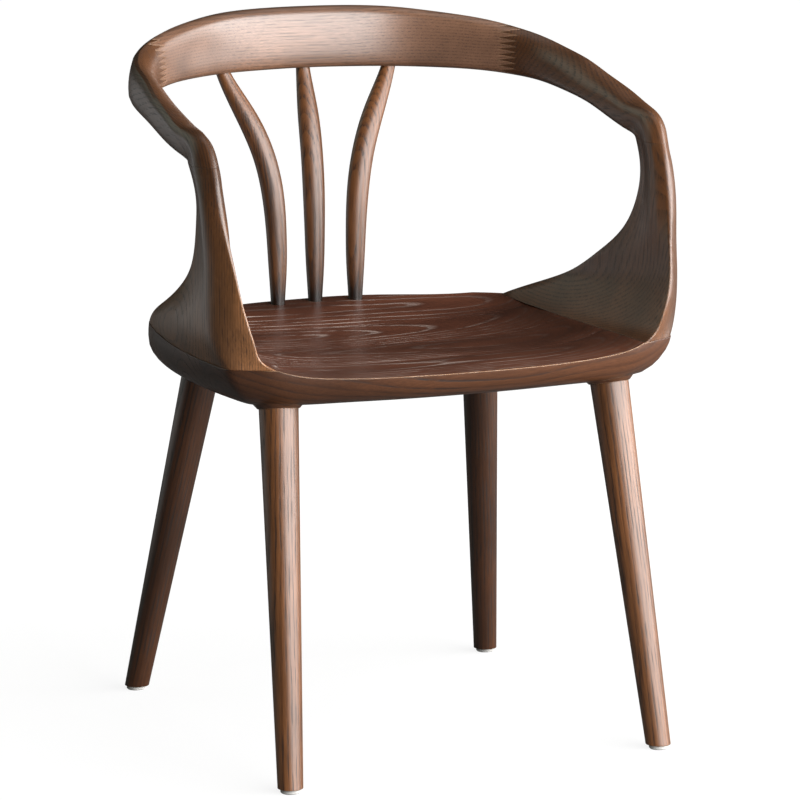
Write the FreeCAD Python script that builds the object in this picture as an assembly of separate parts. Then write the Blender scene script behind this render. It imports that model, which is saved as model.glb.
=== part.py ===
import FreeCAD, Part
import math
import os

# Horseshoe back armchair, in mm. The origin is on the floor, under the middle of the whole chair.
# +X is the sitter's left, -Y is the way that the sitter faces, +Z is up.
# Left and right in names are as seen from the front, so the right side is at +X.
# The sizes below are measured from the middle of the four feet, which is a little ahead of the origin.

Vector = FreeCAD.Vector
UP = Vector(0, 0, 1)
FORWARD = Vector(0, -1, 0)

# Driving sizes of the whole chair
HALF_WIDTH = 283.0
SEAT_HEIGHT = 455.0
ELBOW_RISE = 213.0
ARM_RISE = 58.2
BACK_REACH = 252.0
RAIL_THICKNESS = 25.0

# Arm supports, from their rear end to the inner front edge at the seat
SUPPORT_REAR = 176.0
SUPPORT_LENGTH = 370.0

# Seat
SEAT_MARGIN = 0.6
SEAT_THICKNESS = 45.0
SEAT_BACK_REACH = 245.0
SEAT_FRONT_BOW = 20.0
DISH_DEPTH = 18.0
DISH_LEDGE = 0.8
SEAT_BOARD_WIDTH = 100.0

# Legs, measured along their own axes where they slope
LEG_TOP_RADIUS = 21.7
LEG_FOOT_RADIUS = 13.9
FOOT_Y = 239.0
FRONT_LEG_TOP_Y = 151.0
REAR_LEG_TOP_Y = 143.0
LEG_TENON_RADIUS = 13.0
LEG_TENON_LENGTH = 30.0
BOSS_MARGIN = 1.3
BOSS_DROP = 6.0
BOSS_FLARE = 10.0

# Glides under the feet
GLIDE_RADIUS = 11.0
GLIDE_HEIGHT = 5.0
GLIDE_EDGE_CHAMFER = 1.0
NAIL_RADIUS = 1.4
NAIL_LENGTH = 20.0
NAIL_HEAD_RADIUS = 3.2
NAIL_HEAD_HEIGHT = 1.2
NAIL_HEAD_RECESS = 1.0

# Spindles
SPINDLE_BASE_Y = 230.0
SPINDLE_SPACING = 49.5
SPINDLE_FLARE = 56.0
SPINDLE_LEAN = 36.0
# How far the outer two stand ahead of the middle one, and how much less they lean
SPINDLE_ADVANCE = 5.0
SPINDLE_EASE = 6.0
SPINDLE_SWELL_RADIUS = 13.5
SPINDLE_END_RADIUS = 8.2
SPINDLE_TENON_LENGTH = 18.0

# Hidden dowels
SEAT_DOWEL_RADIUS = 5.0
SEAT_DOWEL_REACH = 18.0
ELBOW_DOWEL_RADIUS = 3.0
ELBOW_DOWEL_REACH = 10.0
ELBOW_DOWEL_SPACING = 11.0
ELBOW_DOWEL_SETBACK = 2.0

# Finger joints between the crest and the arm rails
FINGER_LENGTH = 24.0
FINGER_PITCH = 6.5
FINGER_COUNT = 17
# Row of the rail's table at which they are cut
FINGER_STATION = 5

# Radii and swells at the end of each row of the horseshoe's tables
SHAPE_VALUES = 10
# Chords that draw the round of an edge, and each side of a section: outer, top, inner, bottom
CORNER_CHORDS = 3
SIDE_CHORDS = [5, 2, 5, 1]
# Sections of the horseshoe between two rows of its tables
RING_STEPS = 2
# Chords round a spindle
SPINDLE_CHORDS = 14

# Fits, and how far cutting tools reach past the work
GLUE_CLEARANCE = 0.1
OVERRUN = 90.0

# How far the middle of the whole depth lies behind the middle of the feet
DEPTH_MIDDLE = 13.0

SEAT_UNDERSIDE = SEAT_HEIGHT - SEAT_THICKNESS
ELBOW_HEIGHT = SEAT_HEIGHT + ELBOW_RISE
CREST_UNDERSIDE = ELBOW_HEIGHT + ARM_RISE

# One row for each cross-section of the right half of the rail, from the middle of the crest to the elbow.
# First line of a row, the place of the inner lower corner: shares of the half width, of the way forward and
# of the drop to the elbow. Then the angles that the section faces and tips forward, then the outer lower, outer
# upper and inner upper corners, outward and up, as shares of the rail's thickness.
# Second line, in the same shares: the radii of those corners and of the inner lower one, then the swells
# of the outer side, low and high, of the top, of the inner side, high and low, and of the underside.
RAIL_SHARES = [
    (0.000, 0.000, 0.000, 0, 0, 1.06, 0.06, 0.72, 2.94, -0.04, 2.74,
     0.32, 0.36, 0.24, 0.24, 0.12, 0.12, 0.04, 0.12, 0.12, 0.04),
    (0.194, 0.007, 0.011, 8, 0, 1.08, 0.06, 0.72, 2.94, -0.04, 2.74,
     0.32, 0.36, 0.24, 0.24, 0.12, 0.12, 0.04, 0.12, 0.12, 0.04),
    (0.367, 0.035, 0.022, 21, 0, 1.10, 0.02, 0.72, 2.86, -0.04, 2.64,
     0.32, 0.36, 0.24, 0.24, 0.12, 0.12, 0.04, 0.12, 0.12, 0.04),
    (0.530, 0.106, 0.040, 33, 0, 1.10, 0.02, 0.68, 2.69, -0.04, 2.41,
     0.32, 0.36, 0.24, 0.24, 0.12, 0.12, 0.04, 0.12, 0.12, 0.04),
    (0.664, 0.194, 0.063, 40, 1, 1.08, -0.02, 0.64, 2.51, 0.00, 2.17,
     0.32, 0.36, 0.24, 0.24, 0.16, 0.16, 0.04, 0.12, 0.12, 0.04),
    (0.760, 0.273, 0.112, 49, 3, 1.12, -0.10, 0.68, 2.33, 0.04, 1.85,
     0.36, 0.36, 0.28, 0.24, 0.20, 0.20, 0.04, 0.08, 0.08, 0.04),
    (0.823, 0.355, 0.156, 61, 6, 1.18, -0.25, 0.86, 2.04, 0.10, 1.42,
     0.40, 0.36, 0.32, 0.20, 0.24, 0.20, 0.08, 0.08, 0.08, 0.08),
    (0.853, 0.453, 0.225, 74, 9, 1.18, -0.37, 1.04, 1.78, 0.14, 1.12,
     0.40, 0.36, 0.32, 0.20, 0.24, 0.20, 0.08, 0.04, 0.04, 0.08),
    (0.866, 0.558, 0.305, 80, 12, 1.18, -0.44, 1.12, 1.64, 0.16, 0.94,
     0.40, 0.36, 0.36, 0.16, 0.20, 0.16, 0.08, 0.04, 0.04, 0.08),
    (0.882, 0.689, 0.442, 84, 15, 1.14, -0.42, 1.22, 1.36, 0.16, 0.86,
     0.40, 0.36, 0.36, 0.16, 0.16, 0.12, 0.08, 0.04, 0.04, 0.08),
    (0.896, 0.828, 0.665, 87, 16, 1.04, -0.33, 1.25, 1.28, 0.15, 0.98,
     0.36, 0.32, 0.26, 0.16, 0.12, 0.08, 0.08, 0.12, 0.04, 0.08),
    (0.906, 0.936, 0.837, 89, 19, 0.92, -0.19, 1.18, 1.19, 0.24, 1.16,
     0.32, 0.32, 0.20, 0.16, 0.08, 0.08, 0.08, 0.36, 0.04, 0.04),
    (0.912, 0.972, 0.885, 90, 45, 0.79, -0.22, 1.04, 1.31, 0.42, 1.57,
     0.28, 0.32, 0.16, 0.16, 0.04, 0.04, 0.04, 0.60, 0.00, 0.04),
    (0.913, 1.000, 0.935, 90, 72, 0.66, -0.40, 1.02, 1.38, 0.43, 1.87,
     0.24, 0.32, 0.14, 0.16, 0.04, 0.04, 0.04, 0.76, -0.10, 0.00),
]

# One row for each level cross-section of the right arm support, from the elbow down to the seat.
# First line of a row: the height as a share of the elbow's rise, then the inner rear, outer rear, outer front
# and inner front corners, as shares of the half width and of the support's length from its rear end.
# Second line: the radii from the outer rear round to the inner rear corner, then the swells as above. The
# rail's outer side, top, inner side and underside run on as the support's outer, front, inner and rear side.
SUPPORT_SHARES = [
    (1.000, 0.917, 0.714, 0.970, 0.690, 1.004, 0.816, 0.950, 0.866,
     0.24, 0.36, 0.14, 0.20, 0.04, 0.04, 0.04, 0.88, -0.16, 0.00),
    (0.892, 0.924, 0.722, 0.966, 0.732, 1.004, 0.846, 0.948, 0.895,
     0.24, 0.36, 0.14, 0.24, 0.04, 0.04, 0.04, 0.94, -0.20, 0.00),
    (0.718, 0.919, 0.720, 0.956, 0.726, 1.002, 0.878, 0.940, 0.928,
     0.24, 0.40, 0.14, 0.24, 0.04, 0.08, 0.04, 0.96, -0.24, 0.00),
    (0.526, 0.901, 0.661, 0.938, 0.664, 0.996, 0.892, 0.918, 0.963,
     0.24, 0.44, 0.14, 0.24, 0.08, 0.12, 0.04, 0.44, -0.16, 0.00),
    (0.352, 0.871, 0.521, 0.908, 0.524, 0.996, 0.899, 0.899, 0.994,
     0.24, 0.44, 0.14, 0.24, 0.20, 0.28, 0.04, -0.12, -0.12, 0.00),
    (0.216, 0.855, 0.361, 0.898, 0.364, 0.993, 0.904, 0.876, 1.011,
     0.24, 0.48, 0.16, 0.24, 0.36, 0.48, 0.04, -0.08, -0.08, 0.00),
    (0.108, 0.820, 0.177, 0.871, 0.190, 0.979, 0.916, 0.852, 1.008,
     0.24, 0.48, 0.12, 0.24, 0.52, 0.68, 0.04, 0.20, 0.20, 0.00),
    (0.038, 0.784, 0.055, 0.852, 0.104, 0.958, 0.935, 0.822, 1.006,
     0.24, 0.48, 0.12, 0.24, 0.68, 0.76, 0.04, 0.28, 0.36, 0.00),
    (0.000, 0.763, 0.000, 0.841, 0.070, 0.943, 0.946, 0.776, 1.017,
     0.24, 0.48, 0.12, 0.24, 0.72, 0.80, 0.04, 0.04, 0.48, 0.00),
]

# Seat edge, rear and front of the supports: shares of the half width and of the reach or the bow
SEAT_REAR_SHARES = [(0.000, 1.000), (0.320, 0.960), (0.535, 0.868), (0.710, 0.775), (0.832, 0.636)]
SEAT_FRONT_SHARES = [(0.590, 0.44), (0.300, 0.86), (0.000, 1.00)]
# Where the seat's edge follows the outside of the arm supports, from rear to front
SEAT_SIDE_SHARES = [0.05, 0.20, 0.40, 0.60, 0.78, 0.90, 1.00]
# Where it follows their front faces, from the outside in
SEAT_CORNER_SHARES = [0.10, 0.90]
# The seat's rounded edge from its underside up, all in shares of the seat's thickness: the height, then how
# far in it lies sideways at the very rear, sideways at the very front, and lengthways at both ends
SEAT_EDGE_SHARES = [
    (0.00, 0.27, 0.89, 0.75), (0.11, 0.01, 0.70, 0.39), (0.27, -0.07, 0.49, 0.22), (0.44, -0.11, 0.33, 0.11),
    (0.67, -0.08, 0.155, 0.03), (0.84, -0.04, 0.06, 0.00), (1.00, 0.00, 0.00, 0.00),
]
# Dish across: shares of its half width and of its depth
DISH_ACROSS_SHARES = [(1.00, 0.00), (0.92, 0.38), (0.76, 0.75), (0.45, 0.96), (0.00, 1.00)]
# Dish along the supports' inner edge, from front to rear, and its depth there
DISH_ALONG_SHARES = [(0.04, 0.84), (0.30, 1.00), (0.60, 0.95), (0.92, 0.52)]
DISH_FRONT_DEPTH_SHARE = 0.82
DISH_REAR_SHARES = [(0.60, 0.93, 0.15), (0.50, 1.12, 0.05)]

# Spindle: share of its visible height, of its flare and lean, and of its swell above the end radius
SPINDLE_SHARES = [
    (0.00, 0.00, 0.05), (0.14, 0.00, 0.50), (0.30, 0.02, 0.77), (0.48, 0.09, 0.96), (0.64, 0.25, 0.97),
    (0.80, 0.55, 0.82), (0.93, 0.86, 0.28), (1.00, 1.00, 0.00),
]
SPINDLE_DEPTH_SHARE = 0.70

# Legs, front and rear: at the foot and at the seat's underside, as shares of the half width
FRONT_LEG_SHARES = (0.786, 0.703)
REAR_LEG_SHARES = (0.804, 0.615)

# Share of a side that a corner's round may take, and how full the round is
CORNER_LIMIT_SHARE = 0.46
CORNER_FULL_SHARE = 0.39

# Places of the hidden dowels: along the support from its rear end, and across at the seat
SEAT_DOWEL_SHARES = [(0.36, 0.885), (0.62, 0.900), (0.87, 0.885)]


def mixed(a, b, share):
    return a + (b - a) * share


def rail_corners(row):
    """Four corners of one rail section, in the order outer lower, outer upper, inner upper, inner lower."""
    reach = BACK_REACH - elbow_y()
    base = Vector(row[0] * HALF_WIDTH, BACK_REACH - row[1] * reach, CREST_UNDERSIDE - row[2] * ARM_RISE)
    heading = math.radians(row[3])
    tip = math.radians(row[4])
    outward = Vector(math.sin(heading), math.cos(heading), 0)
    onward = Vector(math.cos(heading), -math.sin(heading), 0)
    upward = UP * math.cos(tip) + onward * math.sin(tip)
    places = [(row[5], row[6]), (row[7], row[8]), (row[9], row[10]), (0, 0)]
    return [base + (outward * out + upward * up) * RAIL_THICKNESS for out, up in places]


def support_point(x_share, y_share, z):
    return Vector(x_share * HALF_WIDTH, SUPPORT_REAR - y_share * SUPPORT_LENGTH, z)


def support_corners(row):
    z = SEAT_HEIGHT + row[0] * ELBOW_RISE
    inner_rear = support_point(row[1], row[2], z)
    outer_rear = support_point(row[3], row[4], z)
    outer_front = support_point(row[5], row[6], z)
    inner_front = support_point(row[7], row[8], z)
    return [outer_rear, outer_front, inner_front, inner_rear]


def elbow_y():
    """The inside of the elbow, which the rail and the support share."""
    return support_point(0, SUPPORT_SHARES[0][2], 0).y


def middle_of(points):
    return Vector(*(sum(part) / len(points) for part in zip(*points)))


def mirrored(point):
    return Vector(-point.x, point.y, point.z)


def curve_through(points, places):
    curve = Part.BSplineCurve()
    curve.interpolate(Points=list(points), Parameters=places)
    return curve


class Ring:
    """The whole horseshoe: smooth tracks for corners, radii and swells, from the left seat to the right."""

    def __init__(self):
        corners = [rail_corners(row) for row in RAIL_SHARES]
        corners += [support_corners(row) for row in SUPPORT_SHARES]
        shapes = [row[-SHAPE_VALUES:] for row in RAIL_SHARES + SUPPORT_SHARES]
        self.count = len(corners)
        left = [[mirrored(p) for p in section] for section in corners[:0:-1]]
        sections = left + corners
        shapes = shapes[:0:-1] + shapes
        self.places = [0.0]
        for before, after in zip(sections, sections[1:]):
            step = sum((b - a).Length for a, b in zip(before, after)) / len(after)
            self.places.append(self.places[-1] + step)
        self.tracks = [curve_through(track, self.places) for track in zip(*sections)]
        self.sizes = []
        for i in range(len(shapes[0])):
            sizes = [shape[i] * RAIL_THICKNESS for shape in shapes]
            line = [Vector(size, place, 0) for size, place in zip(sizes, self.places)]
            self.sizes.append(curve_through(line, self.places))

    def place(self, station):
        """Where a station lies along the ring; station 0 is the middle of the crest."""
        index = station + self.count - 1
        low = min(int(math.floor(index)), len(self.places) - 2)
        return mixed(self.places[low], self.places[low + 1], index - low)

    def section(self, station):
        place = self.place(station)
        corners = [track.value(place) for track in self.tracks]
        sizes = [size.value(place).x for size in self.sizes]
        return corners, sizes


def side_poles(a, b, middle, near, far):
    """A side of a section as a cubic: near and far swell it away from the section's middle."""
    along = b - a
    normal = (a - middle).cross(b - middle).cross(along)
    if normal.dot(middle_of([a, b]) - middle) < 0:
        normal = normal * -1
    normal.normalize()
    return [a, a + along / 3 + normal * near, a + along * 2 / 3 + normal * far, b]


def cubic_point(poles, t):
    s = 1 - t
    return poles[0] * s ** 3 + poles[1] * 3 * s * s * t + poles[2] * 3 * s * t * t + poles[3] * t ** 3


def cubic_part(poles, start, end):
    """The poles of the part of a cubic between two of its parameters."""
    curve = Part.BezierCurve()
    curve.setPoles(poles)
    curve.segment(start, end)
    return curve.getPoles()


def section_sides(corners, sizes):
    """The four trimmed sides of a section, each as poles, and the share cut off at both ends."""
    middle = middle_of(corners)
    radii = sizes[:4]
    outer_near, outer_far, top, inner_near, inner_far, bottom = sizes[4:]
    swells = [(outer_near, outer_far), (top, top), (inner_near, inner_far), (bottom, bottom)]
    sides = []
    for i in range(4):
        a, b = corners[i], corners[(i + 1) % 4]
        poles = side_poles(a, b, middle, *swells[i])
        length = (b - a).Length
        start = min(radii[i] / length, CORNER_LIMIT_SHARE)
        end = 1 - min(radii[(i + 1) % 4] / length, CORNER_LIMIT_SHARE)
        sides.append(cubic_part(poles, start, end))
    return sides


def corner_poles(before, after):
    """A round from the end of one side to the start of the next, tangent to both."""
    first = (before[3] - before[2]).normalize()
    last = (after[1] - after[0]).normalize()
    reach = (after[0] - before[3]).Length * CORNER_FULL_SHARE
    return [before[3], before[3] + first * reach, after[0] - last * reach, after[0]]


def section_wire(corners, sizes):
    """A section as short chords of its curved sides and rounded corners."""
    sides = section_sides(corners, sizes)
    points = []
    for i in range(4):
        parts = [(corner_poles(sides[i - 1], sides[i]), CORNER_CHORDS), (sides[i], SIDE_CHORDS[i])]
        for poles, chords in parts:
            points += [cubic_point(poles, k / chords) for k in range(chords)]
    return Part.makePolygon(points + points[:1])


def ring_solid(ring, first, last):
    steps = range(first * RING_STEPS, last * RING_STEPS + 1)
    wires = [section_wire(*ring.section(step / RING_STEPS)) for step in steps]
    return Part.makeLoft(wires, True, False)


def mirror_x(shape):
    return shape.mirror(Vector(0, 0, 0), Vector(1, 0, 0))


def both_sides(shape):
    return Part.makeCompound(shape.Solids + mirror_x(shape).Solids)


def finger_tool(ring, beyond):
    """All that lies past the zigzag of a finger joint, toward the elbow or toward the middle of the crest."""
    corners = ring.section(FINGER_STATION)[0]
    middle = middle_of(corners)
    along = ring.section(FINGER_STATION + 1)[0][3] - ring.section(FINGER_STATION - 1)[0][3]
    along.z = 0
    along.normalize()
    outward = Vector(-along.y, along.x, 0)
    start = middle - outward * OVERRUN / 2 - UP * FINGER_PITCH * (FINGER_COUNT / 2)
    points = []
    for i in range(2 * FINGER_COUNT + 1):
        side = FINGER_LENGTH / 2 if i % 2 else -FINGER_LENGTH / 2
        points.append(start + UP * FINGER_PITCH * i / 2 + along * side)
    far = along * OVERRUN if beyond else along * -OVERRUN
    points += [points[-1] + far, points[0] + far, points[0]]
    return Part.Face(Part.makePolygon(points)).extrude(outward * OVERRUN)


def elbow_dowels(clearance):
    corners = support_corners(SUPPORT_SHARES[0])
    middle = middle_of(corners)
    solids = []
    for side in (-1, 1):
        forward = side * ELBOW_DOWEL_SPACING / 2 - ELBOW_DOWEL_SETBACK
        foot = middle + FORWARD * forward - UP * ELBOW_DOWEL_REACH
        solids.append(Part.makeCylinder(ELBOW_DOWEL_RADIUS + clearance, 2 * ELBOW_DOWEL_REACH, foot, UP))
    return Part.makeCompound(solids)


def seat_dowels(clearance):
    solids = []
    for along, across in SEAT_DOWEL_SHARES:
        foot = support_point(across, along, SEAT_HEIGHT - SEAT_DOWEL_REACH)
        solids.append(Part.makeCylinder(SEAT_DOWEL_RADIUS + clearance, 2 * SEAT_DOWEL_REACH, foot, UP))
    return Part.makeCompound(solids)


def base_sides():
    """The sides of the right arm support where it stands on the seat."""
    row = SUPPORT_SHARES[-1]
    return section_sides(support_corners(row), [share * RAIL_THICKNESS for share in row[-SHAPE_VALUES:]])


def seat_outline():
    """Points of the seat's upper edge, from the middle of the back round the right side to the front."""
    sides = base_sides()
    outer, front = sides[0], sides[1]
    points = [Vector(x * HALF_WIDTH, y * SEAT_BACK_REACH, 0) for x, y in SEAT_REAR_SHARES]
    points += [cubic_point(outer, t) + Vector(SEAT_MARGIN, 0, 0) for t in SEAT_SIDE_SHARES]
    corner = cubic_point(corner_poles(outer, front), 0.5)
    points.append(corner + Vector(SEAT_MARGIN, -SEAT_MARGIN, 0))
    points += [cubic_point(front, t) - Vector(0, SEAT_MARGIN, 0) for t in SEAT_CORNER_SHARES]
    front_y = cubic_point(front, 1).y
    points += [Vector(x * HALF_WIDTH, front_y - bow * SEAT_FRONT_BOW, 0) for x, bow in SEAT_FRONT_SHARES]
    return [Vector(p.x, p.y, 0) for p in points]


def closed_curve(points, rear, front, ends, z):
    """A level closed smooth curve through points of the right half and their mirror images, drawn in."""
    full = points + [mirrored(p) for p in points[-2:0:-1]]
    wide = max(p.x for p in full)
    ahead = max(-p.y for p in full)
    behind = max(p.y for p in full)
    moved = []
    for p in full:
        reach = behind if p.y > 0 else ahead
        inset = mixed(rear, front, (behind - p.y) / (behind + ahead))
        moved.append(Vector(p.x * (1 - inset / wide), p.y * (1 - ends / reach), z))
    curve = Part.BSplineCurve()
    curve.interpolate(Points=moved, PeriodicFlag=True)
    return Part.Wire(curve.toShape())


def seat_blank():
    points = seat_outline()
    levels = []
    for row in SEAT_EDGE_SHARES:
        height, rear, front, ends = [share * SEAT_THICKNESS for share in row]
        levels.append(closed_curve(points, rear, front, ends, SEAT_UNDERSIDE + height))
    return Part.makeLoft(levels, True, True)


def dish_section(half_width, y, depth):
    shares = DISH_ACROSS_SHARES
    right = [Vector(across * half_width, y, SEAT_HEIGHT - down * depth) for across, down in shares]
    points = right + [mirrored(p) for p in right[-2::-1]]
    curve = Part.BSplineCurve()
    curve.interpolate(Points=points)
    top = [points[-1], points[-1] + UP * SEAT_THICKNESS, points[0] + UP * SEAT_THICKNESS, points[0]]
    edges = [curve.toShape()] + [Part.makeLine(a, b) for a, b in zip(top, top[1:])]
    return Part.Wire(edges)


def dish_tool():
    inner = base_sides()[2]
    edge = [(cubic_point(inner, along), depth) for along, depth in DISH_ALONG_SHARES]
    first = edge[0][0]
    rows = [(first.x, first.y - OVERRUN, DISH_FRONT_DEPTH_SHARE)]
    rows += [(point.x, point.y, depth) for point, depth in edge]
    rows += [(x * HALF_WIDTH, y * SEAT_BACK_REACH, depth) for x, y, depth in DISH_REAR_SHARES]
    wires = [dish_section(x - DISH_LEDGE, y, depth * DISH_DEPTH) for x, y, depth in rows]
    return Part.makeLoft(wires, True, False)


class Leg:
    """A leg's axis, from the floor to the seat's underside."""

    def __init__(self, shares, foot_y, top_y):
        self.foot = Vector(shares[0] * HALF_WIDTH, foot_y, 0)
        self.top = Vector(shares[1] * HALF_WIDTH, top_y, SEAT_UNDERSIDE)
        self.axis = (self.top - self.foot).normalize()
        self.shoulder = self.top - self.axis * BOSS_DROP

    def solid(self):
        length = (self.shoulder - self.foot).Length
        taper = (LEG_TOP_RADIUS - LEG_FOOT_RADIUS) / length
        bottom = self.foot - self.axis * LEG_FOOT_RADIUS
        low = LEG_FOOT_RADIUS * (1 - taper)
        cone = Part.makeCone(low, LEG_TOP_RADIUS, length + LEG_FOOT_RADIUS, bottom, self.axis)
        corner = self.foot + Vector(-OVERRUN, -OVERRUN, GLIDE_HEIGHT - OVERRUN)
        cone = cone.cut(Part.makeBox(2 * OVERRUN, 2 * OVERRUN, OVERRUN, corner))
        tenon = Part.makeCylinder(LEG_TENON_RADIUS, LEG_TENON_LENGTH, self.shoulder, self.axis)
        return cone.fuse(tenon).removeSplitter().cut(self.nail_hole())

    def socket(self):
        radius = LEG_TENON_RADIUS + GLUE_CLEARANCE
        return Part.makeCylinder(radius, LEG_TENON_LENGTH, self.shoulder, self.axis)

    def boss(self):
        """The raised ring under the seat that the leg's shoulder sits against, flared into the underside."""
        low = LEG_TOP_RADIUS + BOSS_MARGIN
        rise = BOSS_DROP + LEG_TOP_RADIUS * math.hypot(self.axis.x, self.axis.y)
        return Part.makeCone(low, low + BOSS_FLARE, rise, self.shoulder, self.axis)

    def glide(self):
        disc = Part.makeCylinder(GLIDE_RADIUS, GLIDE_HEIGHT, self.foot, UP)
        rim = [edge for edge in disc.Edges if edge.BoundBox.ZMax < GLUE_CLEARANCE]
        disc = disc.makeChamfer(GLIDE_EDGE_CHAMFER, rim)
        recess = NAIL_HEAD_HEIGHT + NAIL_HEAD_RECESS
        head = Part.makeCylinder(NAIL_HEAD_RADIUS + GLUE_CLEARANCE, recess, self.foot, UP)
        shank = Part.makeCylinder(NAIL_RADIUS + GLUE_CLEARANCE, GLIDE_HEIGHT, self.foot, UP)
        return disc.cut(head).cut(shank)

    def nail(self):
        head = Part.makeCylinder(NAIL_HEAD_RADIUS, NAIL_HEAD_HEIGHT, self.foot + UP * NAIL_HEAD_RECESS, UP)
        base = NAIL_HEAD_RECESS + NAIL_HEAD_HEIGHT
        shank = Part.makeCylinder(NAIL_RADIUS, NAIL_LENGTH, self.foot + UP * base, UP)
        return head.fuse(shank).removeSplitter()

    def nail_hole(self):
        base = NAIL_HEAD_RECESS + NAIL_HEAD_HEIGHT
        return Part.makeCylinder(NAIL_RADIUS + GLUE_CLEARANCE, NAIL_LENGTH, self.foot + UP * base, UP)


def legs():
    return {
        "front": Leg(FRONT_LEG_SHARES, -FOOT_Y, -FRONT_LEG_TOP_Y),
        "rear": Leg(REAR_LEG_SHARES, FOOT_Y, REAR_LEG_TOP_Y),
    }


class Spindle:
    """A back spindle: side is 1 for the right one, 0 for the middle one, -1 for the left one."""

    def __init__(self, side):
        self.side = side
        self.rows = [(-SPINDLE_TENON_LENGTH / self.height(), 0, 0)] + SPINDLE_SHARES
        lean = SPINDLE_TENON_LENGTH / self.height()
        self.rows.append((1 + lean, 1 + lean, 0))
        self.points = [self.point(row) for row in self.rows]

    def height(self):
        return CREST_UNDERSIDE - SEAT_HEIGHT

    def point(self, row):
        x = self.side * (SPINDLE_SPACING + row[1] * SPINDLE_FLARE)
        outer = abs(self.side)
        lean = SPINDLE_LEAN - outer * SPINDLE_EASE
        y = SPINDLE_BASE_Y - outer * SPINDLE_ADVANCE + row[1] * lean
        return Vector(x, y, mixed(SEAT_HEIGHT, CREST_UNDERSIDE, row[0]))

    def wire(self, index, extra):
        before = self.points[max(index - 1, 0)]
        after = self.points[min(index + 1, len(self.points) - 1)]
        along = (after - before).normalize()
        across = along.cross(FORWARD).normalize()
        ahead = across.cross(along)
        swell = self.rows[index][2] * (SPINDLE_SWELL_RADIUS - SPINDLE_END_RADIUS)
        wide = SPINDLE_END_RADIUS + extra + swell
        deep = SPINDLE_END_RADIUS + extra + swell * SPINDLE_DEPTH_SHARE
        points = []
        for i in range(SPINDLE_CHORDS + 1):
            turn = 2 * math.pi * i / SPINDLE_CHORDS
            points.append(self.points[index] + across * wide * math.cos(turn) + ahead * deep * math.sin(turn))
        return Part.makePolygon(points)

    def solid(self, extra=0):
        return Part.makeLoft([self.wire(i, extra) for i in range(len(self.points))], True, False)


def seat_boards(seat):
    """The seat blank cut into its glued boards, from front to rear."""
    box = seat.BoundBox
    cuts = [-SEAT_BOARD_WIDTH, 0, SEAT_BOARD_WIDTH]
    starts = [box.YMin - OVERRUN] + cuts
    ends = cuts + [box.YMax + OVERRUN]
    boards = []
    for start, end in zip(starts, ends):
        corner = Vector(-HALF_WIDTH - OVERRUN, start, SEAT_UNDERSIDE - OVERRUN)
        slab = Part.makeBox(2 * (HALF_WIDTH + OVERRUN), end - start, 2 * OVERRUN + SEAT_THICKNESS, corner)
        boards.append(seat.common(slab))
    return boards


def export(node, shape):
    shape = shape.translated(Vector(0, -DEPTH_MIDDLE, 0))
    shape.exportStep(os.path.join("parts", node + ".step"))
    box = shape.BoundBox
    print(node, "valid", shape.isValid(), "solids", len(shape.Solids), "size",
          round(box.XLength, 1), round(box.YLength, 1), round(box.ZLength, 1))


def main():
    os.makedirs("parts", exist_ok=True)
    ring = Ring()
    elbow = len(RAIL_SHARES)
    base = elbow + len(SUPPORT_SHARES) - 1
    holes = elbow_dowels(GLUE_CLEARANCE)
    support = ring_solid(ring, elbow, base).cut(holes).cut(seat_dowels(GLUE_CLEARANCE))
    arm = ring_solid(ring, FINGER_STATION - 1, elbow)
    arm = arm.cut(finger_tool(ring, False)).cut(holes)
    crest = ring_solid(ring, -FINGER_STATION - 1, FINGER_STATION + 1)
    crest = crest.cut(finger_tool(ring, True)).cut(mirror_x(finger_tool(ring, True)))

    seat = seat_blank().cut(dish_tool())
    spindles = {"left_spindle": Spindle(-1), "middle_spindle": Spindle(0), "right_spindle": Spindle(1)}
    for spindle in spindles.values():
        hole = spindle.solid(GLUE_CLEARANCE)
        seat = seat.cut(hole)
        crest = crest.cut(hole)
    holes = seat_dowels(GLUE_CLEARANCE)
    seat = seat.cut(holes).cut(mirror_x(holes))
    for leg in legs().values():
        for shape in (leg.boss(), mirror_x(leg.boss())):
            seat = seat.fuse(shape)
        for shape in (leg.socket(), mirror_x(leg.socket())):
            seat = seat.cut(shape)

    names = ["front_seat_board", "middle_front_seat_board", "middle_rear_seat_board", "rear_seat_board"]
    for name, board in zip(names, seat_boards(seat)):
        export(name, board)
    export("crest_rail", crest)
    for name, shape in {"arm_rail": arm, "arm_support": support}.items():
        export("right_" + name, shape)
        export("left_" + name, mirror_x(shape))
    export("arm_support_dowels", both_sides(seat_dowels(0)))
    export("elbow_dowels", both_sides(elbow_dowels(0)))
    for name, spindle in spindles.items():
        export(name, spindle.solid())
    for end, leg in legs().items():
        export(end + "_right_leg", leg.solid())
        export(end + "_left_leg", mirror_x(leg.solid()))
    glides = [both_sides(leg.glide()) for leg in legs().values()]
    nails = [both_sides(leg.nail()) for leg in legs().values()]
    export("foot_glides", Part.makeCompound([solid for pair in glides for solid in pair.Solids]))
    export("glide_nails", Part.makeCompound([solid for pair in nails for solid in pair.Solids]))


main()
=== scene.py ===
# %% [markdown]
# The horseshoe back armchair, dressed for a photograph.
# The construction comes from CAD and is loaded as a fixed frame, in metres, with Z up.
# Every wooden piece is a smooth skin taken from its own solid, so its size can't drift.
# All the wood is ash under a dark brown stain with a satin finish, and each piece has its own grain
# direction.

# %% Load the frame
import math
import bmesh
import bpy
from mathutils import Matrix, Vector


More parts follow.
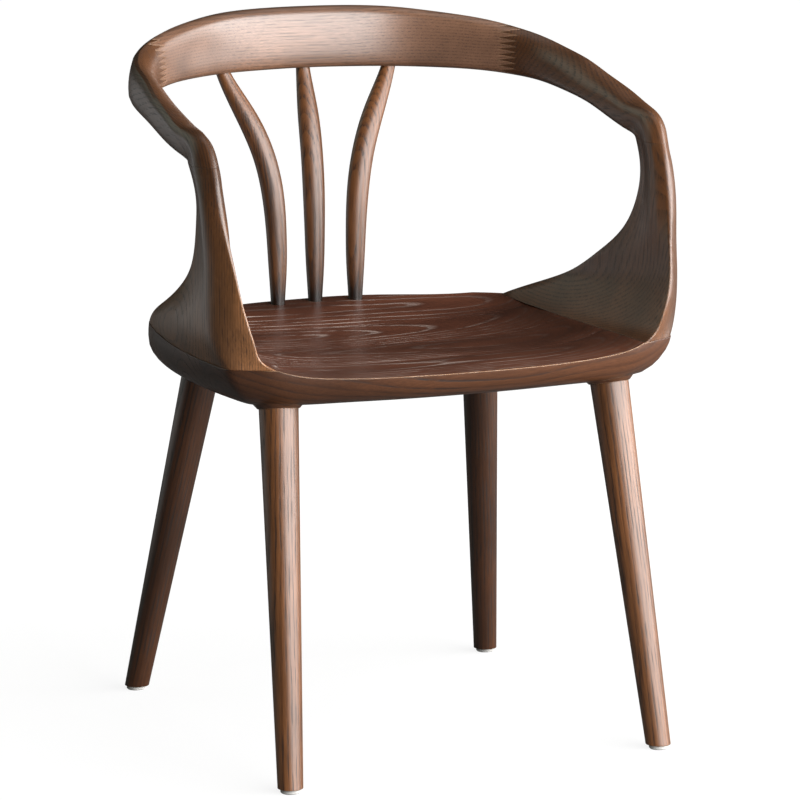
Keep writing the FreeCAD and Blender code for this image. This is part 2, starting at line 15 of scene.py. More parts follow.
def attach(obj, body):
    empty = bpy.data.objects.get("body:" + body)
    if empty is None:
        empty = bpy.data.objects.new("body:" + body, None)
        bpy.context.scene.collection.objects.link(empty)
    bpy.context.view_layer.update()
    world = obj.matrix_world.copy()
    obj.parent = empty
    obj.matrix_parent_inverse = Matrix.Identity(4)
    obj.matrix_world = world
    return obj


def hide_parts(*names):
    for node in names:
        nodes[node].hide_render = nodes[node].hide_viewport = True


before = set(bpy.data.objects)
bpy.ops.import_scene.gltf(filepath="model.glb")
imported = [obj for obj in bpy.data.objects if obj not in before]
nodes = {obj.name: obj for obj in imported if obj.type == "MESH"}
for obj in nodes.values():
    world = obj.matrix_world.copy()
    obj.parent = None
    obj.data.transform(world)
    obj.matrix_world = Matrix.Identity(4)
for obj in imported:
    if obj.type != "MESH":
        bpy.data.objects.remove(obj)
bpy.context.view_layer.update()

# %% [markdown]
# A CAD mesh arrives as loose triangles, which shade as flat facets.
# A copy with its doubles merged can share normals, so that a curved side shades smoothly.
# Edges that turn sharply stay sharp, such as a finger joint's, the rim of a tenon or a board's
# glued edge. An edge split by angle could do the same, but marking the edges keeps the mesh closed.

# %% Smooth skins from the solids
SHARP = math.radians(32)
SAME_PLACE = 0.000008
SLIVER = 0.000004
WOODEN = ("board", "rail", "support", "spindle", "leg")


def skin(node, name):
    """A merged, smooth copy of a node's mesh that stands for the node."""
    mesh = bpy.data.meshes.new(name)
    bm = bmesh.new()
    bm.from_mesh(nodes[node].data)
    bmesh.ops.remove_doubles(bm, verts=bm.verts, dist=SAME_PLACE)
    bmesh.ops.dissolve_degenerate(bm, edges=bm.edges, dist=SLIVER)
    for face in bm.faces:
        face.smooth = True
    for edge in bm.edges:
        edge.smooth = edge.is_manifold and edge.calc_face_angle(0) < SHARP
    bm.to_mesh(mesh)
    bm.free()
    mesh.materials.clear()
    piece = bpy.data.objects.new(name, mesh)
    bpy.context.scene.collection.objects.link(piece)
    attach(piece, "root")
    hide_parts(node)
    return piece


timber = {}
for node in nodes:
    if node.endswith(WOODEN):
        timber[node] = skin(node, node + "_timber")
print(len(timber), "wooden pieces")

# %% [markdown]
# A material is a small network of nodes. Written out in full, every node and every link takes a
# line of its own. So a few short helpers come first: one adds a node, one fills a socket with a
# link or with a plain value, and the others do the sums, the noise, the ramps and the blends from
# which wood is mixed.

# %% Helpers for nodes, links and sums
X, Y, Z = 0, 1, 2


def add(tree, kind, **settings):
    """A new node, with its settings."""
    node = tree.nodes.new(kind)
    for key, value in settings.items():
        setattr(node, key, value)
    return node


def plug(tree, socket, value):
    """Fill a socket with another node's output, a number, a place or a colour."""
    if isinstance(value, bpy.types.NodeSocket):
        tree.links.new(value, socket)
    elif socket.type == "RGBA":
        socket.default_value = (*value, 1)
    elif value is not None:
        socket.default_value = value


def maths(tree, operation, first, second=None):
    """A sum with one or two numbers."""
    node = add(tree, "ShaderNodeMath", operation=operation)
    plug(tree, node.inputs[0], first)
    plug(tree, node.inputs[1], second)
    return node.outputs[0]


def vector_maths(tree, operation, first, second=None):
    """A sum with places or directions. A length and a dot product come out as a number."""
    node = add(tree, "ShaderNodeVectorMath", operation=operation)
    plug(tree, node.inputs[0], first)
    plug(tree, node.inputs[1], second)
    return node.outputs["Value" if operation in ("LENGTH", "DOT_PRODUCT") else "Vector"]


def split(tree, vector):
    """The X, Y and Z of a place or a direction."""
    node = add(tree, "ShaderNodeSeparateXYZ")
    plug(tree, node.inputs["Vector"], vector)
    return tuple(node.outputs)


print("helpers for nodes: add, plug, maths, vector_maths, split")

# %% Helpers for noise and colour
MIX_FACTOR, MIX_FIRST, MIX_SECOND, MIX_RESULT = 0, 6, 7, 2


def noise(tree, vector, scale, detail=2.0, rough=0.5, output="Fac"):
    """Soft clouds: the larger the scale, the smaller they are."""
    node = add(tree, "ShaderNodeTexNoise")
    plug(tree, node.inputs["Vector"], vector)
    plug(tree, node.inputs["Scale"], scale)
    plug(tree, node.inputs["Detail"], detail)
    plug(tree, node.inputs["Roughness"], rough)
    return node.outputs[output]


def ramp(tree, value, stops):
    """A grey or a colour that changes from stop to stop as the value grows."""
    node = add(tree, "ShaderNodeValToRGB")
    plug(tree, node.inputs["Fac"], value)
    elements = node.color_ramp.elements
    while len(elements) < len(stops):
        elements.new(0.5)
    for element, (place, shade) in zip(elements, stops):
        element.position = place
        element.color = (*shade, 1) if isinstance(shade, tuple) else (shade, shade, shade, 1)
    return node.outputs["Color"]


def blended(tree, factor, first, second, mode="MIX"):
    """Two colours laid over each other."""
    node = add(tree, "ShaderNodeMix", data_type="RGBA", blend_type=mode)
    plug(tree, node.inputs[MIX_FACTOR], factor)
    plug(tree, node.inputs[MIX_FIRST], first)
    plug(tree, node.inputs[MIX_SECOND], second)
    return node.outputs[MIX_RESULT]


def shaded(tree, color, shade):
    """A colour made lighter or darker by a shade."""
    return blended(tree, 1.0, color, shade, "MULTIPLY")


print("helpers for colour: noise, ramp, blended, shaded")

# %% [markdown]
# A node tree first needs to know the way that the grain runs. For a leg or a seat board that is a
# straight line: the Object coordinates are turned until their first axis lies along the grain, and
# moved until that axis is the pith, the middle of the tree that the piece was cut from. Generated
# coordinates would be easier, but they stretch with the size of each piece, and the rings would be
# wide on one and narrow on the next.

# %% Straight grain
def straight(grain, pith):
    """The space of a piece whose grain runs in one direction."""
    turn = Vector(grain).normalized().rotation_difference(Vector((1, 0, 0)))

    def space(tree):
        mapping = add(tree, "ShaderNodeMapping")
        plug(tree, mapping.inputs["Vector"], add(tree, "ShaderNodeTexCoord").outputs["Object"])
        plug(tree, mapping.inputs["Rotation"], turn.to_euler())
        plug(tree, mapping.inputs["Location"], pith)
        return mapping.outputs["Vector"]

    return space


print("straight grain, turned to run along X")

# %% [markdown]
# The rounded elbow is different. Arm rail and arm support are joined there, and a maker picks both
# from one bent sweep of grain, so that the eye runs round the corner. This space bends the same
# way: level along the arm, a quarter turn round the elbow, then down the support. Its first number
# is the way along the grain and its third the distance from the corner's middle, like the lanes of
# a running track.

# %% Swept grain
ELBOW_Y, ELBOW_Z = -0.080, 0.640
SWEEP_PER_RADIAN = 0.055
NEVER_ZERO = 0.0001


def swept(pith):
    """The space of an arm, whose grain bends a quarter turn round the elbow."""
    def space(tree):
        x, y, z = split(tree, add(tree, "ShaderNodeTexCoord").outputs["Object"])
        ahead = maths(tree, "SUBTRACT", ELBOW_Y, y)
        above = maths(tree, "SUBTRACT", z, ELBOW_Z)
        below = maths(tree, "LESS_THAN", above, 0.0)
        not_below = maths(tree, "SUBTRACT", 1.0, below)
        ahead_only = maths(tree, "MAXIMUM", ahead, 0.0)
        above_only = maths(tree, "MAXIMUM", above, 0.0)
        behind_only = maths(tree, "MINIMUM", ahead, 0.0)
        below_only = maths(tree, "MINIMUM", above, 0.0)

        square_ahead = maths(tree, "MULTIPLY", ahead_only, ahead_only)
        square_above = maths(tree, "MULTIPLY", above_only, above_only)
        lane = maths(tree, "SQRT", maths(tree, "ADD", square_ahead, square_above))
        lane = maths(tree, "ADD", lane, maths(tree, "MULTIPLY", behind_only, below))

        turned = maths(tree, "ARCTAN2", above_only, maths(tree, "ADD", ahead_only, NEVER_ZERO))
        along = maths(tree, "ADD", below_only, maths(tree, "MULTIPLY", turned, SWEEP_PER_RADIAN))
        along = maths(tree, "SUBTRACT", along, maths(tree, "MULTIPLY", behind_only, not_below))

        joined = add(tree, "ShaderNodeCombineXYZ")
        for name, value in zip("XYZ", (along, x, lane)):
            plug(tree, joined.inputs[name], value)
        return vector_maths(tree, "ADD", joined.outputs["Vector"], pith)

    return space


print("swept grain, round a corner at Y", ELBOW_Y, "and Z", ELBOW_Z)

# %% [markdown]
# Ash has strong growth rings: each begins in spring with a line of open pores and ends in autumn
# with dense wood. An image of veneer would be quick, but it slides and stretches over twisted
# shapes.
# Here the rings are worked out in the solid wood, as distances from the pith, so that they meet at
# every arris the way real timber's do. Two things make them look grown. A slow noise bends them,
# because no tree is quite round, and the way along the grain counts a little too, because a tree
# tapers: where a flat face cuts such rings it shows the tall arches that joiners call cathedrals.

# %% Growth rings
TAPER = 0.10
BEND_SCALE, BEND_LENGTHWAYS, BEND_SIZE = 7.0, 0.35, 0.030
SPRING_WOOD = ((0.0, 1.0), (0.20, 0.80), (0.45, 0.15), (0.92, 0.0), (1.0, 1.0))


def drawn_out(tree, space, share):
    """The space shrunk along the grain, so that a noise in it comes out long and thin."""
    return vector_maths(tree, "MULTIPLY", space, (share, 1, 1))


def growth(tree, grain, figure, ring):
    """The bent space, and how far each place is through its year, from 0 in spring to 1."""
    drift = noise(tree, drawn_out(tree, grain, BEND_LENGTHWAYS), BEND_SCALE, output="Color")
    shift = vector_maths(tree, "SUBTRACT", drift, (0.5, 0.5, 0.5))
    shift = vector_maths(tree, "MULTIPLY", shift, (0, BEND_SIZE * figure, BEND_SIZE * figure))
    bent = vector_maths(tree, "ADD", grain, shift)
    from_pith = vector_maths(tree, "LENGTH", drawn_out(tree, bent, TAPER))
    return bent, maths(tree, "FRACT", maths(tree, "DIVIDE", from_pith, ring))


print("at a figure of 1 the rings bend by up to", BEND_SIZE / 2, "m to each side")

# %% [markdown]
# The pores of ash are open tubes, cut lengthwise into short dark strokes. They crowd together in
# the spring wood and are rare in the rest of the ring. A noise that is drawn out along the grain
# makes the strokes, and the ring decides how many of them show. Single modelled pores would be too
# many to handle and too small to see.

# %% Pores
PORE_STROKES = ((0.48, 0.0), (0.58, 1.0))
PORE_LENGTHWAYS, PORE_DETAIL, PORE_ROUGHNESS = 0.035, 2.0, 0.6
IN_SPRING, ANYWHERE = 0.85, 0.12


def open_pores(tree, spring, strokes, contrast):
    """Where a pore is open: often in spring wood, seldom elsewhere."""
    likely = maths(tree, "ADD", maths(tree, "MULTIPLY", spring, IN_SPRING), ANYWHERE)
    pores = maths(tree, "MULTIPLY", ramp(tree, strokes, PORE_STROKES), likely)
    return maths(tree, "MULTIPLY", pores, contrast)


print("pores reach", IN_SPRING + ANYWHERE, "in spring wood and", ANYWHERE, "elsewhere")

# %% [markdown]
# The top of the seat carries painted glints: each spring line shows as a pale streak, a painted
# glint of light in its open pores, broken, in patches, and fading out towards the right.
# The seat's edge and underside get no glints, and are darker and less red than the top.
# An image of the streaks would fix them to one view of one seat. The object's own normal tells the
# top from the edge, so the painted glints stay on the top however the chair is turned.

# %% Painted glints on the seat's top
PAINTED_GLINT = (0.52, 0.42, 0.37)
GLINT_LINES = ((0.0, 1.0), (0.08, 0.9), (0.20, 0.0), (0.96, 0.0), (1.0, 1.0))
GLINT_BREAKS = ((0.40, 0.0), (0.52, 1.0))
GLINT_PATCHES = ((0.40, 0.15), (0.60, 1.0))
GLINT_SIDEWAYS = ((0.50, 1.0), (0.68, 0.2))
HALF_A_METRE = 0.5
LOOKS_UP = ((0.80, 0.0), (0.97, 1.0))
EDGE_SHADE = ((0.0, (0.50, 0.56, 0.44)), (1.0, 1.0))


def glinting_pores(tree, years, strokes, clouds, sideways):
    """Where a pore shows a painted glint."""
    lines = ramp(tree, years, GLINT_LINES)
    lines = maths(tree, "MULTIPLY", lines, ramp(tree, strokes, GLINT_BREAKS))
    fading = ramp(tree, maths(tree, "ADD", sideways, HALF_A_METRE), GLINT_SIDEWAYS)
    patches = maths(tree, "MULTIPLY", ramp(tree, clouds, GLINT_PATCHES), fading)
    return maths(tree, "MULTIPLY", lines, patches)


def glints_on_top(tree, normal, color, pore):
    """The pores' painted glints on the top, and the darker, less red stain of the edge."""
    top = ramp(tree, split(tree, normal)[Z], LOOKS_UP)
    return shaded(tree, color, ramp(tree, top, EDGE_SHADE)), blended(tree, top, pore, PAINTED_GLINT)


# The painted glints in the seat's pores fade out towards the right.
print("lime fades up to", round(GLINT_SIDEWAYS[1][0] - HALF_A_METRE, 2), "m right of the middle")

# %% [markdown]
# Where an arris is handled the stain is rubbed thin, so it is lighter and shinier there. On the
# seat boards the lighter arris is turned up further, and along the seat's rim it is partly a
# painted highlight. A bevelled normal finds those places: on a flat it agrees with the true normal,
# on an arris it doesn't. It also softens the arris in the light, as a pass of sandpaper does, where
# bevels in the mesh would change a shape that comes from CAD. Glued joints are left out, because no
# hand reaches an arris that is closed by its neighbour.

# %% Rubbed arrises and the seat rim's painted highlight
ARRIS = 0.0016
BEVEL_SAMPLES = 4
OFF_THE_FLAT = ((0.80, 1.0), (0.985, 0.0))
CLEAR_OF_JOINT = ((0.8, 0.0), (1.0, 1.0))


def arris_for_wear_and_highlight(tree, place, joints):
    """How much of an open arris is at this place, and the softened normal."""
    bevel = add(tree, "ShaderNodeBevel", samples=BEVEL_SAMPLES)
    plug(tree, bevel.inputs["Radius"], ARRIS)
    soft_normal = bevel.outputs["Normal"]
    true_normal = add(tree, "ShaderNodeNewGeometry").outputs["Normal"]
    arris = ramp(tree, vector_maths(tree, "DOT_PRODUCT", soft_normal, true_normal), OFF_THE_FLAT)
    for axis, value, reach in joints:
        away = maths(tree, "ABSOLUTE", maths(tree, "SUBTRACT", place[axis], value))
        clear = ramp(tree, maths(tree, "DIVIDE", away, reach), CLEAR_OF_JOINT)
        arris = maths(tree, "MULTIPLY", arris, clear)
    return arris, soft_normal


print("an arris is looked for within", ARRIS, "m")

# %% [markdown]
# A satin finish isn't even. Pores sink into the surface and are duller than the wood around them,
# fibres catch the light as fine threads, and a rubbed arris is the smoothest place of all. These go
# into roughness and bump, from the same pores and fibres as the colour, because a gloss that
# ignores the grain looks like printed foil. Pieces that a hand or a polishing cloth reaches easily
# carry some more polish, as a clear coat.

# %% Satin finish
SATIN, DULL_PORES, DULL_FIBRES, SHINE_OF_ARRIS = 0.32, 0.25, 0.08, 0.15
PORE_DEPTH, FIBRE_HEIGHT = -1.0, 0.25
RELIEF_STRENGTH, RELIEF_SIZE = 0.30, 0.0003
LACQUER_IOR = 1.5


def satin(tree, shader, pores, fibres, wear_and_highlight_share, soft_normal, polish):
    """Roughness, relief and polish, plugged into the shader."""
    dull = maths(tree, "ADD", maths(tree, "MULTIPLY", pores, DULL_PORES), SATIN)
    dull = maths(tree, "ADD", dull, maths(tree, "MULTIPLY", fibres, DULL_FIBRES))
    dull = maths(tree, "SUBTRACT", dull, maths(tree, "MULTIPLY", wear_and_highlight_share, SHINE_OF_ARRIS))
    plug(tree, shader.inputs["Roughness"], dull)
    relief = maths(tree, "MULTIPLY", pores, PORE_DEPTH)
    relief = maths(tree, "ADD", relief, maths(tree, "MULTIPLY", fibres, FIBRE_HEIGHT))
    bump = add(tree, "ShaderNodeBump")
    plug(tree, bump.inputs["Strength"], RELIEF_STRENGTH)
    plug(tree, bump.inputs["Distance"], RELIEF_SIZE)
    plug(tree, bump.inputs["Height"], relief)
    plug(tree, bump.inputs["Normal"], soft_normal)
    plug(tree, shader.inputs["Normal"], bump.outputs["Normal"])
    plug(tree, shader.inputs["IOR"], LACQUER_IOR)
    plug(tree, shader.inputs["Coat Weight"], polish)
    plug(tree, shader.inputs["Coat Roughness"], SATIN)


print("roughness from", round(SATIN - SHINE_OF_ARRIS, 2), "to",
      round(SATIN + DULL_PORES + DULL_FIBRES, 2))

# %% [markdown]
# One function now makes the stained ash of any piece. A stain is four colours: the dense late wood,
# the porous early wood, what stands in the pores, and the bare wood where the stain is rubbed thin,
# which along the seat's rim is also a painted highlight.
# Slow clouds and fine fibres make each of them lighter and darker, as stain soaks in unevenly.
# Some pieces need more. The lower part of the left arm support is paler than its top, and the
# spindles are darker towards their feet, where they meet the seat.

# %% Stained ash
CLOUD_SCALE, CLOUD_DETAIL, CLOUD_LENGTHWAYS = 16.0, 3.0, 0.30
FIBRE_SCALE, FIBRE_DETAIL, FIBRE_ROUGHNESS, FIBRE_LENGTHWAYS = 1500.0, 2.0, 0.6, 0.02
EARLY_SHARE = 0.65
CLOUD_SHADE = ((0.30, 0.58), (0.70, 1.36))
FIBRE_SHADE = ((0.30, 0.72), (0.70, 1.26))
PALER_BELOW = ((0.50, 0.0), (0.64, 1.0))
FOOT_SHADE = ((0.92, 0.10), (0.985, 1.0))
HEIGHTS_PER_METRE = 2.0


def ash(name, space, ring, stain, figure=0.5, contrast=0.9, stroke=620.0, polish=0.0,
        wear_and_highlight=0.35, joints=(), painted_glints=False, dark_foot=False, paler=None):
    """Ash for one piece: its grain, the width of its rings, its stain and how it is finished."""
    wood = bpy.data.materials.new(name)
    wood.use_nodes = True
    tree = wood.node_tree
    shader = tree.nodes["Principled BSDF"]
    late, early, pore, worn_and_highlight = stain
    spot = add(tree, "ShaderNodeTexCoord")
    place = split(tree, spot.outputs["Object"])
    grain = space(tree)

    bent, years = growth(tree, grain, figure, ring)
    spring = ramp(tree, years, SPRING_WOOD)
    strokes = noise(tree, drawn_out(tree, bent, PORE_LENGTHWAYS), stroke, PORE_DETAIL,
                    PORE_ROUGHNESS)
    fibres = noise(tree, drawn_out(tree, grain, FIBRE_LENGTHWAYS), FIBRE_SCALE, FIBRE_DETAIL,
                   FIBRE_ROUGHNESS)
    clouds = noise(tree, drawn_out(tree, grain, CLOUD_LENGTHWAYS), CLOUD_SCALE, CLOUD_DETAIL)
    if painted_glints:
        pores = glinting_pores(tree, years, strokes, clouds, place[X])
    else:
        pores = open_pores(tree, spring, strokes, contrast)

    if paler:
        upper = ramp(tree, place[Z], PALER_BELOW)
        late = blended(tree, upper, paler[0], late)
        early = blended(tree, upper, paler[1], early)
    color = blended(tree, maths(tree, "MULTIPLY", spring, EARLY_SHARE * contrast), late, early)
    color = shaded(tree, color, ramp(tree, clouds, CLOUD_SHADE))
    color = shaded(tree, color, ramp(tree, fibres, FIBRE_SHADE))
    if painted_glints:
        color, pore = glints_on_top(tree, spot.outputs["Normal"], color, pore)
    color = blended(tree, pores, color, pore)
    if dark_foot:
        height = maths(tree, "MULTIPLY", place[Z], HEIGHTS_PER_METRE)
        color = shaded(tree, color, ramp(tree, height, FOOT_SHADE))
    arris, soft_normal = arris_for_wear_and_highlight(tree, place, joints)
    # Lighter at open arrises, where the stain is rubbed thin; along the seat's rim partly a painted
    # highlight.
    wear_and_highlight_share = maths(tree, "MULTIPLY", arris, maths(tree, "MULTIPLY", clouds, 2 * wear_and_highlight))
    plug(tree, shader.inputs["Base Color"], blended(tree, wear_and_highlight_share, color, worn_and_highlight))
    satin(tree, shader, pores, fibres, wear_and_highlight_share, soft_normal, polish)
    return wood


print("dark feet end at a height of", FOOT_SHADE[1][0] / HEIGHTS_PER_METRE, "m")

# %% [markdown]
# The stain differs from piece to piece, because ash from different boards drinks it differently and
# a finisher wipes some parts longer: the crest is the lightest and the seat is reddish. The rear
# legs are the darkest, because their stain also carries painted shade, for the shade under the
# seat.
# One stain for all would be simpler, but the chair would look cast in one piece.

# %% Stains
# The bare wood shows at rubbed arrises; along the seat's rim the same colour is also a painted
# highlight.
BARE_AND_HIGHLIGHT = (0.480, 0.290, 0.160)
CREST_STAIN = ((0.150, 0.076, 0.044), (0.070, 0.031, 0.017), (0.020, 0.010, 0.007), BARE_AND_HIGHLIGHT)
LIGHT_STAIN = ((0.210, 0.092, 0.036), (0.095, 0.038, 0.014), (0.020, 0.009, 0.005), BARE_AND_HIGHLIGHT)
ARM_STAIN = ((0.100, 0.039, 0.014), (0.044, 0.017, 0.006), (0.014, 0.006, 0.004), BARE_AND_HIGHLIGHT)
STICK_STAIN = ((0.138, 0.054, 0.019), (0.058, 0.021, 0.007), (0.016, 0.007, 0.004), BARE_AND_HIGHLIGHT)
# The rear legs' stain is darkened further as painted shade, for the shade under the seat.
REAR_LEG_STAIN_AND_SHADE = ((0.048, 0.017, 0.006), (0.026, 0.009, 0.003), (0.010, 0.005, 0.003), BARE_AND_HIGHLIGHT)
SEAT_STAIN = ((0.120, 0.040, 0.021), (0.062, 0.020, 0.011), (0.016, 0.007, 0.004), BARE_AND_HIGHLIGHT)
lightest, darkest = CREST_STAIN[0][0], REAR_LEG_STAIN_AND_SHADE[0][0]
print("the crest is", round(lightest / darkest, 1), "times as light as a rear leg")

# %% [markdown]
# Every piece is cut from its own place in its own log: a direction for the grain, and a shift that
# puts the pith somewhere outside the piece. Each seat board has its pith close under its middle,
# about 0.4 m above the floor, so that its top is flat-sawn and shows wide arches. The legs and
# spindles stand well away from the pith, so that their lines run straight, which is also how a
# maker picks them: straight grain is strong.

# %% Where each piece is cut
BOARDS = {
    "front_seat_board": ((1, 0.03, 0.02), (0.10, 0.150, -0.400)),
    "middle_front_seat_board": ((1, -0.02, 0.04), (-0.20, 0.050, -0.395)),
    "middle_rear_seat_board": ((1, 0.05, -0.05), (0.05, -0.060, -0.405)),
    "rear_seat_board": ((1, -0.03, 0.03), (0.30, -0.170, -0.398)),
}
STICKS = {
    "left_spindle": ((-0.08, 0.05, 1), (0.0, 0.060, -0.200)),
    "middle_spindle": ((0, 0.06, 1), (0.2, 0.030, -0.230)),
    "right_spindle": ((0.08, 0.05, 1), (0.4, 0.090, -0.260)),
    "front_right_leg": ((-0.06, 0.22, 1), (0.0, 0.25, -0.25)),
    "front_left_leg": ((0.06, 0.22, 1), (0.1, 0.25, 0.21)),
    "rear_right_leg": ((-0.13, -0.23, 1), (0.2, -0.25, -0.25)),
    "rear_left_leg": ((0.13, -0.23, 1), (0.3, -0.25, 0.22)),
}
CREST = ((1, 0, 0.01), (0, -0.20, 0.30))
ARMS = {"right": (0, -0.75, 0.14), "left": (0, 0.75, 0.14)}
SEAT_RING, STICK_RING, CREST_RING, ARM_RING = 0.0090, 0.0042, 0.0036, 0.0030
print("ring widths in metres:", SEAT_RING, STICK_RING, CREST_RING, ARM_RING)

# %% [markdown]
# The seat's seams from board to board, and the arms' joints at the elbow and on the seat, are
# measured on the CAD meshes. Typed in by hand, they would be wrong as soon as the chair changed.
# Only the band at each end of the seat, where an arm support stands, is typed in, because no piece
# ends there.

# %% Glued joints
SEAM_REACH = 0.004
SEAT_END, SEAT_END_REACH = 0.27, 0.045


def reach_of(node, axis):
    """The least and the greatest place of a node along an axis."""
    places = [corner.co[axis] for corner in nodes[node].data.vertices]
    return min(places), max(places)


board_joints = [(Y, reach_of(node, Y)[1], SEAM_REACH) for node in list(BOARDS)[:-1]]
board_joints += [(X, side * SEAT_END, SEAT_END_REACH) for side in (-1, 1)]
arm_joints = [(Z, reach_of(node, Z)[0], SEAM_REACH)
              for node in ("right_arm_rail", "right_arm_support")]
print("glued joints", board_joints, arm_joints)

# %% [markdown]
# Now each piece gets its wood. Boards, sticks, crest and arms differ only in the numbers that go
# into the one function, so a loop can finish each kind. The rail and the support of an arm share
# one sweep of grain.

# %% Finish the wooden pieces
finishes = {}
# The seat boards carry painted glints in the pores of their top.
for node, (grain, pith) in BOARDS.items():
    # Their rubbed arris is turned up, so that the seat's rim carries a partly painted highlight.
    finishes[node] = ash(node + " ash", straight(grain, pith), SEAT_RING, SEAT_STAIN, figure=1.6,
                         contrast=0.8, stroke=420.0, wear_and_highlight=0.8, joints=board_joints,
                         painted_glints=True)
for node, (grain, pith) in STICKS.items():
    # The rear legs take the stain that carries painted shade.
    stain = REAR_LEG_STAIN_AND_SHADE if node.startswith("rear") else STICK_STAIN
    finishes[node] = ash(node + " ash", straight(grain, pith), STICK_RING, stain, polish=0.15,
                         dark_foot=node.endswith("spindle"))
finishes["crest_rail"] = ash("crest ash", straight(*CREST), CREST_RING, CREST_STAIN, figure=0.8,
                             contrast=0.55, polish=0.5)
for side, pith in ARMS.items():
    for node in (side + "_arm_rail", side + "_arm_support"):
        paler = LIGHT_STAIN if node == "left_arm_support" else None
        finishes[node] = ash(node + " ash", swept(pith), ARM_RING, ARM_STAIN, figure=0.3,
                             contrast=0.7, polish=0.25, joints=arm_joints, paler=paler)
for node, finish in finishes.items():
    timber[node].data.materials.append(finish)
print(len(finishes), "wooden pieces finished")

# %% [markdown]
# Under the feet sit pale plastic glides, each held by one nail through its middle. Moulded plastic
# and drawn steel are nearly even, so a faint cloud in the colour and a fine speck in the gloss are
# enough for both.

# %% Plastic and steel
PLAIN_CLOUDS, PLAIN_SPECKS = 60.0, 900.0
PLAIN_SHADE = ((0.30, 0.75), (0.70, 1.10))
SPECK_DULLNESS, SPECK_STRENGTH, SPECK_SIZE = 0.20, 0.20, 0.0002


def plain(name, color, rough, metallic=0.0):
    """A nearly even finish with faint clouds and specks."""
    finish = bpy.data.materials.new(name)
    finish.use_nodes = True
    tree = finish.node_tree
    shader = tree.nodes["Principled BSDF"]
    spot = add(tree, "ShaderNodeTexCoord").outputs["Object"]
    cloud = noise(tree, spot, PLAIN_CLOUDS, CLOUD_DETAIL)
    speck = noise(tree, spot, PLAIN_SPECKS)
    plug(tree, shader.inputs["Base Color"], shaded(tree, color, ramp(tree, cloud, PLAIN_SHADE)))
    dull = maths(tree, "ADD", maths(tree, "MULTIPLY", speck, SPECK_DULLNESS), rough)
    plug(tree, shader.inputs["Roughness"], dull)
    bump = add(tree, "ShaderNodeBump")
    plug(tree, bump.inputs["Strength"], SPECK_STRENGTH)
    plug(tree, bump.inputs["Distance"], SPECK_SIZE)
    plug(tree, bump.inputs["Height"], speck)
    plug(tree, shader.inputs["Normal"], bump.outputs["Normal"])
    plug(tree, shader.inputs["Metallic"], metallic)
    return finish


glide_plastic = plain("pale glide plastic", (0.42, 0.41, 0.39), 0.40)
nail_steel = plain("nail steel", (0.52, 0.51, 0.50), 0.25, 1.0)
print("made", glide_plastic.name, "and", nail_steel.name)

# %% [markdown]
# Dowels are plain beech without stain: glue holds badly on stained wood, and nobody sees them.
# Glides, nails and dowels keep their CAD meshes, which are right as they are, and only get a
# finish.

# %% Beech dowels and the kept CAD pieces
BEECH = ((0.52, 0.34, 0.20), (0.44, 0.27, 0.15), (0.34, 0.20, 0.11), (0.56, 0.38, 0.24))
BEECH_RING = 0.003
dowel_beech = ash("dowel beech", straight((0, 0, 1), (0.1, 0.05, 0.05)), BEECH_RING, BEECH,
                  figure=0.4, contrast=0.6)
kept = {"foot_glides": glide_plastic, "glide_nails": nail_steel,
        "arm_support_dowels": dowel_beech, "elbow_dowels": dowel_beech}
for node, finish in kept.items():
    nodes[node].data.materials.clear()
    nodes[node].data.materials.append(finish)
print("kept CAD pieces with a new finish:", sorted(kept))

# %% [markdown]
# The floor is a wide sheet of paper that fills the whole picture, because the camera looks down on
# it. A brighter lamp would wash out the brown wood, so the paper glows by itself for the camera,
# least close to the chair, where it has to keep the chair's shadow.
# In the chair's reflections it glows only behind the chair on the left, in front of the pale wall.
# The rest of the studio is dark, and that darkness gives the brown wood its depth.

# %% Floor
HALF_SHEET = 24

floor_mesh = bpy.data.meshes.new("floor")
bm = bmesh.new()
bmesh.ops.create_grid(bm, x_segments=1, y_segments=1, size=HALF_SHEET)
bm.to_mesh(floor_mesh)
bm.free()
floor = bpy.data.objects.new("floor", floor_mesh)
bpy.context.scene.collection.objects.link(floor)
print("floor", tuple(floor.dimensions))

# %% Paper
PAPER = (0.12, 0.12, 0.12)
PAPER_ROUGHNESS, PAPER_SHEEN = 0.9, 0.1
GLOW_REACH = 2.0
GLOW = ((0.15, 0.86), (0.60, 1.0))
GLOW_BEHIND = ((0.20, 0.0), (0.60, 0.65))
GLOW_LEFT = ((0.35, 0.0), (0.65, 1.0))

paper = bpy.data.materials.new("white paper")
paper.use_nodes = True
sheet = paper.node_tree
surface = sheet.nodes["Principled BSDF"]
plug(sheet, surface.inputs["Base Color"], PAPER)
plug(sheet, surface.inputs["Roughness"], PAPER_ROUGHNESS)
plug(sheet, surface.inputs["Specular IOR Level"], PAPER_SHEEN)
plug(sheet, surface.inputs["Emission Color"], (1, 1, 1))
spot = add(sheet, "ShaderNodeTexCoord").outputs["Object"]
from_chair = maths(sheet, "DIVIDE", vector_maths(sheet, "LENGTH", spot), GLOW_REACH)
sideways, backwards, _ = split(sheet, spot)
behind = ramp(sheet, maths(sheet, "DIVIDE", backwards, GLOW_REACH), GLOW_BEHIND)
leftwards = ramp(sheet, maths(sheet, "DIVIDE", sideways, -GLOW_REACH), GLOW_LEFT)
rays = add(sheet, "ShaderNodeLightPath").outputs
mirrored = maths(sheet, "MAXIMUM", rays["Is Glossy Ray"], rays["Is Transmission Ray"])
mirrored = maths(sheet, "MULTIPLY", mirrored, maths(sheet, "MULTIPLY", behind, leftwards))
seen = maths(sheet, "MAXIMUM", rays["Is Camera Ray"], mirrored)
plug(sheet, surface.inputs["Emission Strength"],
     maths(sheet, "MULTIPLY", seen, ramp(sheet, from_chair, GLOW)))
floor.data.materials.append(paper)
print("the paper glows fully from", GLOW[1][0] * GLOW_REACH, "m")

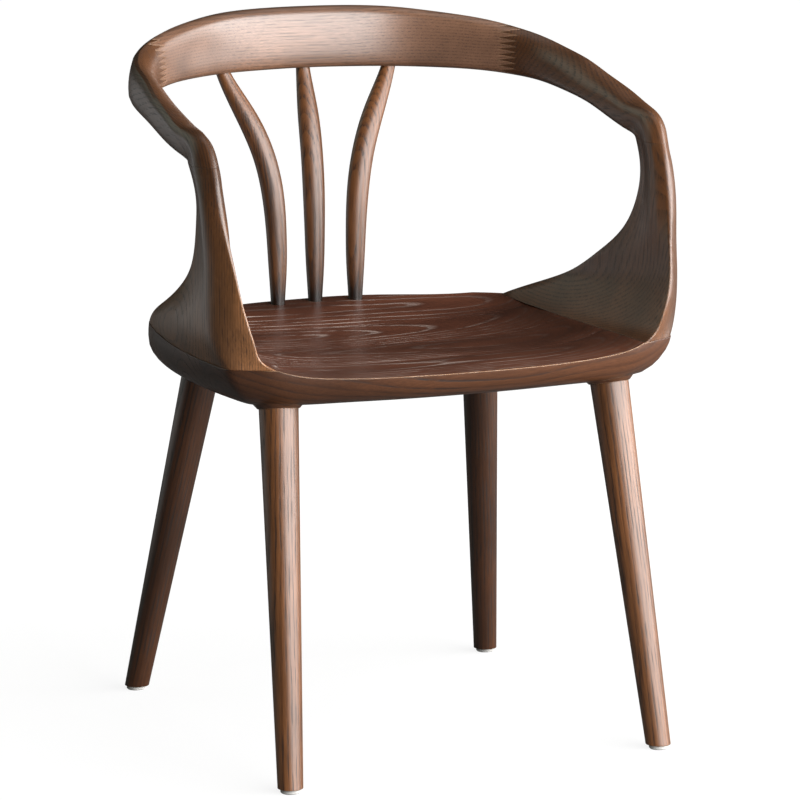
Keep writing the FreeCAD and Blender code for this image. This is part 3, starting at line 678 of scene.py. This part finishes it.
# %% [markdown]
# The studio is dark but for a large soft window on the right, in front, and a pale wall behind on
# the left. The wall is part of the world: its brightness follows the direction. It gives the left
# side and the inside of the right arm support their grey-green sheen, and stays out of the seat,
# which mirrors what is straight behind. A wall made as a mesh would need lamps of its own, and
# would stand in the way of a view from behind.

# %% Pale wall
WALL_DIRECTION = (-0.66, 0.60, 0.45)
WALL = ((0.82, (0.020, 0.020, 0.018)), (0.98, (0.85, 0.92, 0.78)))

world = bpy.data.worlds.new("studio")
world.use_nodes = True
sky = world.node_tree
background = sky.nodes["Background"]
looking = add(sky, "ShaderNodeTexCoord").outputs["Generated"]
toward_wall = vector_maths(sky, "DOT_PRODUCT", looking, WALL_DIRECTION)
plug(sky, background.inputs["Color"], ramp(sky, toward_wall, WALL))
plug(sky, background.inputs["Strength"], 1.0)
bpy.context.scene.world = world
print("pale wall towards", WALL_DIRECTION)

# %% [markdown]
# The window is one long area lamp. With hard ends it would draw a hard-edged stripe on every round
# leg, so a dimmer lamp hangs at each end like a curtain and fades it out. A weak light from above
# keeps the seat from going black. Each lamp stands at its place, looks at a point on the chair, and
# has a width, a height and a power in watts.
# The lamps suit this one view. Seen from behind, the seat mirrors the window and the back is dark.

# %% Window, curtains and soft light
MID_CHAIR, SEAT = (0, 0, 0.5), (0, 0, 0.4)
LAMPS = {
    "window on the right": ((1.64, -2.02, 1.05), MID_CHAIR, (4.4, 2.1), 315),
    "curtain at the window's near edge": ((-0.41, -2.57, 1.05), MID_CHAIR, (0.9, 2.1), 19),
    "curtain at the window's far edge": ((2.60, 0.09, 1.05), MID_CHAIR, (0.8, 2.1), 30),
    "soft light above": ((0.4, 0.2, 2.6), SEAT, (1.6, 1.6), 6),
}


def aimed(place, target):
    """The matrix of a lamp that stands at a place and looks at a target."""
    look = Vector(target) - Vector(place)
    return Matrix.Translation(place) @ look.to_track_quat("-Z", "Y").to_matrix().to_4x4()


for name, (place, target, size, power) in LAMPS.items():
    lamp = bpy.data.lights.new(name, "AREA")
    lamp.shape = "RECTANGLE"
    lamp.size, lamp.size_y = size
    lamp.energy = power
    box = bpy.data.objects.new(name, lamp)
    box.matrix_world = aimed(place, target)
    bpy.context.scene.collection.objects.link(box)
print(len(LAMPS), "lamps,", sum(lamp[3] for lamp in LAMPS.values()), "W in all")

# %% [markdown]
# The camera stands where the photograph was taken: a little to the left of the chair's front, about
# a metre and a quarter up and looking down. Its long lens from far away shows near and far legs
# almost equally large, where a short one close by would make the front of the seat too wide.

# %% Camera
LENS, FILM = 180, 36
TURN, TILT = math.radians(-23.44), math.radians(10.74)
STAND = (-1.7683, -4.1141, 1.2193)

camera = bpy.data.cameras.new("camera")
camera.lens = LENS
camera.sensor_width = FILM
view = bpy.data.objects.new("camera", camera)
view.matrix_world = Matrix.Translation(STAND) @ (
    Matrix.Rotation(TURN, 4, "Z") @ Matrix.Rotation(math.pi / 2 - TILT, 4, "X"))
bpy.context.scene.collection.objects.link(view)
bpy.context.scene.camera = view
bpy.context.scene.view_settings.view_transform = "Standard"
print("camera", round(Vector(STAND).length, 2), "m from the middle of the floor")
